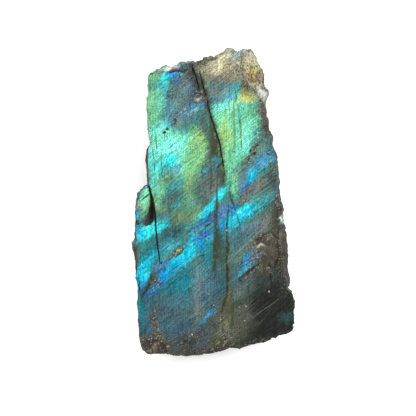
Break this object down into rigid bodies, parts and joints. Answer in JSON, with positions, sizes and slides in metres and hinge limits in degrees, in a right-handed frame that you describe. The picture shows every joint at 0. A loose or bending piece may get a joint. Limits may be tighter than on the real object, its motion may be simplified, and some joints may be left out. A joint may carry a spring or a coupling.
{
  "type": "labradorite slab",
  "caption": "Semi-polished labradorite slab with a flat polished face, a sawn back and a rough broken edge; lies flat as a display or study piece.",
  "frame": {"origin": "middle of the slab's bounding box at its resting face, the sawn back", "axes": "+Z out of the polished face, +Y along the slab's length towards its narrower top end, +X across it to the right when looking at the polished face"},
  "size_m": [0.082, 0.154, 0.022],
  "materials": {
    "labradorite": "Dark grey-green feldspar with a blue, cyan, green and gold flash in slanting bands; lapped semi-gloss face with fine scratches, dark open fissures and pits, matte brown iron-stained broken edge, matte sawn back"
  },
  "bodies": {
    "root": {"labradorite_slab": "labradorite"}
  },
  "joints": []
}
